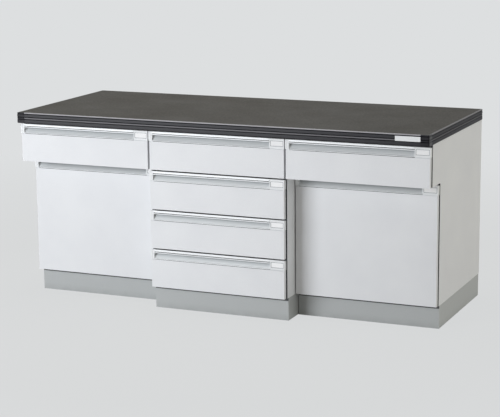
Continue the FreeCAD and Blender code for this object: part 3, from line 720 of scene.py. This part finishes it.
# On each drawer's channels: screws into the box side, and a black lever that frees the drawer. The
# lever is a rounded plate on the channel's web. Both show only when the drawer is out.
slideDetail = {"webIn": 7.4 * mm, "screwBacks": (30 * mm, 140 * mm, 430 * mm),
               "leverBack": 190 * mm, "leverLong": 56 * mm, "leverHigh": 9 * mm,
               "leverSeat": 0.05 * mm, "leverThick": 2.4 * mm, "leverSoft": 0.5 * mm,
               "leverCorner": 3.5 * mm, "leverDrop": 6 * mm}


def slideDetails(drawer):
    low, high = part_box(drawer + "_slide_inner")
    z = (low.z + high.z) / 2
    webs = (("left", -1, low.x + slideDetail["webIn"]), ("right", 1, high.x - slideDetail["webIn"]))
    for hand, side, x in webs:
        places = [(x, low.y + back, z) for back in slideDetail["screwBacks"]]
        screwRow(f"{drawer}_{hand}_slide_screws", places, (side, 0, 0), drawer,
                 "zinc_plated_steel")
        points, faces = roundedPlate(
            slideDetail["leverLong"], slideDetail["leverHigh"], slideDetail["leverCorner"],
            slideDetail["leverSeat"], slideDetail["leverThick"], slideDetail["leverSoft"])
        points = sideFacing(points, x, low.y + slideDetail["leverBack"],
                            z - slideDetail["leverDrop"], side)
        addPiece(f"{drawer}_{hand}_slide_lever", points, faces, drawer, "moulded_end_plastic",
                 leverBlack)


for drawer in drawers:
    slideDetails(drawer)
print("slide screws and levers:", len(drawers), "drawers")

# Plain pale studio: a floor that keeps a soft shadow, and the same pale tone all round. Near the
# bench the floor shows a share of the light that falls on it, and further away it is all flat tone.
studio = {"pale": "#dddfe0", "floorReach": 30.0, "floorDrop": 0.5 * mm, "flatShare": 0.88,
          "flatFrom": 1.5, "flatTo": 4.0, "floorBounce": "#ccc9c3", "ambient": "#fff9f2",
          "ambientStrength": 0.22}


def seesBackground(tree):  # 1 for rays that see the background, straight, mirrored or through
    path = addNode(tree, "ShaderNodeLightPath").outputs
    seen = addNode(tree, "ShaderNodeMath",
                   {0: path["Is Camera Ray"], 1: path["Is Glossy Ray"]}, operation="MAXIMUM")
    return addNode(tree, "ShaderNodeMath",
                   {0: seen.outputs[0], 1: path["Is Transmission Ray"]},
                   operation="MAXIMUM").outputs[0]


def paleFloor():
    corners = np.array([(-1, -1, 0), (1, -1, 0), (1, 1, 0), (-1, 1, 0)]) * studio["floorReach"]
    corners[:, 2] = cadBox[0][2] - studio["floorDrop"]
    finish, tree, place = startFinish("floorPalePaper")
    lit = addNode(tree, "ShaderNodeBsdfDiffuse", {"Color": linear(studio["floorBounce"])})
    flat = addNode(tree, "ShaderNodeEmission",
                   {"Color": linear(studio["pale"]), "Strength": 1.0})
    away = addNode(tree, "ShaderNodeVectorMath", {0: place}, operation="LENGTH").outputs["Value"]
    evenness = addNode(tree, "ShaderNodeMapRange",
                       {"Value": away, "From Min": studio["flatFrom"],
                        "From Max": studio["flatTo"], "To Min": studio["flatShare"]})
    share = addNode(tree, "ShaderNodeMath", {0: seesBackground(tree), 1: evenness.outputs[0]},
                    operation="MULTIPLY")
    mixed = addNode(tree, "ShaderNodeMixShader",
                    {0: share.outputs[0], 1: lit.outputs[0], 2: flat.outputs[0]})
    addNode(tree, "ShaderNodeOutputMaterial", {"Surface": mixed.outputs[0]})
    mesh = bpy.data.meshes.new("floor")
    mesh.from_pydata(corners.tolist(), [], [(0, 1, 2, 3)])
    mesh.materials.append(finish)
    floor = bpy.data.objects.new("floor", mesh)
    bpy.context.scene.collection.objects.link(floor)


def paleWorld():
    world = bpy.data.worlds.new("paleWorld")
    bpy.context.scene.world = world
    world.use_nodes = True
    tree = world.node_tree
    tree.nodes.clear()
    seen = addNode(tree, "ShaderNodeBackground",
                   {"Color": linear(studio["pale"]), "Strength": 1.0})
    light = addNode(tree, "ShaderNodeBackground",
                    {"Color": linear(studio["ambient"]), "Strength": studio["ambientStrength"]})
    mixed = addNode(tree, "ShaderNodeMixShader",
                    {0: seesBackground(tree), 1: light.outputs[0], 2: seen.outputs[0]})
    addNode(tree, "ShaderNodeOutputWorld", {"Surface": mixed.outputs[0]})


paleFloor()
paleWorld()

# A large soft lamp at the front left, a weak low one behind for the backs, a strip overhead for
# the edges, and a weak warm fill at the right.
lamps = {
    "keyLamp": {"place": (-2.6, -5.0, 1.4), "aim": (0.0, -0.2, 0.45), "wide": 3.2, "high": 2.6,
                "watts": 227.0, "tint": "#f5f8fd"},
    "rearLamp": {"place": (-0.5, 5.0, 0.42), "aim": (0.0, 0.4, 0.4), "wide": 2.6, "high": 0.7,
                 "watts": 70.0, "tint": "#ffffff"},
    "topLamp": {"place": (-0.6, 0.2, 3.0), "aim": (-0.2, 0.0, 0.8), "wide": 3.0, "high": 1.0,
                "watts": 27.0, "tint": "#ffffff"},
    "sideLamp": {"place": (4.8, -0.1, 0.6), "aim": (0.9, 0.0, 0.3), "wide": 2.4, "high": 1.1,
                 "watts": 56.0, "tint": "#fbfaf2"},
}


def softLamp(name, look):
    data = bpy.data.lights.new(name, "AREA")
    data.shape = "RECTANGLE"
    data.size, data.size_y = look["wide"], look["high"]
    data.energy = look["watts"]
    data.color = linear(look["tint"])[:3]
    lamp = bpy.data.objects.new(name, data)
    away = Vector(look["place"]) - Vector(look["aim"])
    turn = away.to_track_quat("Z", "Y").to_matrix()
    lamp.matrix_world = Matrix.Translation(look["place"]) @ turn.to_4x4()
    bpy.context.scene.collection.objects.link(lamp)


for name, look in lamps.items():
    softLamp(name, look)

# The camera stands to the right of the front, at the photograph's angle. Angles are in degrees,
# the focal length and the sensor in mm.
lens = {"place": (2.692, -6.237, 1.774), "azimuth": 23.35, "down": 11.58, "roll": -0.51,
        "focal": 117.9, "sensor": 36.0, "near": 0.05, "far": 200}


def photoCamera():
    data = bpy.data.cameras.new("camera")
    data.lens, data.sensor_width = lens["focal"], lens["sensor"]
    data.clip_start, data.clip_end = lens["near"], lens["far"]
    azimuth, down, roll = (math.radians(lens[key]) for key in ("azimuth", "down", "roll"))
    back = Vector((math.sin(azimuth) * math.cos(down), -math.cos(azimuth) * math.cos(down),
                   math.sin(down)))
    right = (-back).cross(Vector((0, 0, 1))).normalized()
    up = right.cross(-back)
    turnedRight = right * math.cos(roll) + up * math.sin(roll)
    turnedUp = up * math.cos(roll) - right * math.sin(roll)
    turn = Matrix((turnedRight, turnedUp, back)).transposed()
    camera = bpy.data.objects.new("camera", data)
    camera.matrix_world = Matrix.Translation(lens["place"]) @ turn.to_4x4()
    bpy.context.scene.collection.objects.link(camera)
    bpy.context.scene.camera = camera


photoCamera()
bpy.context.scene.view_settings.view_transform = "Standard"
print("studio, lamps and camera")
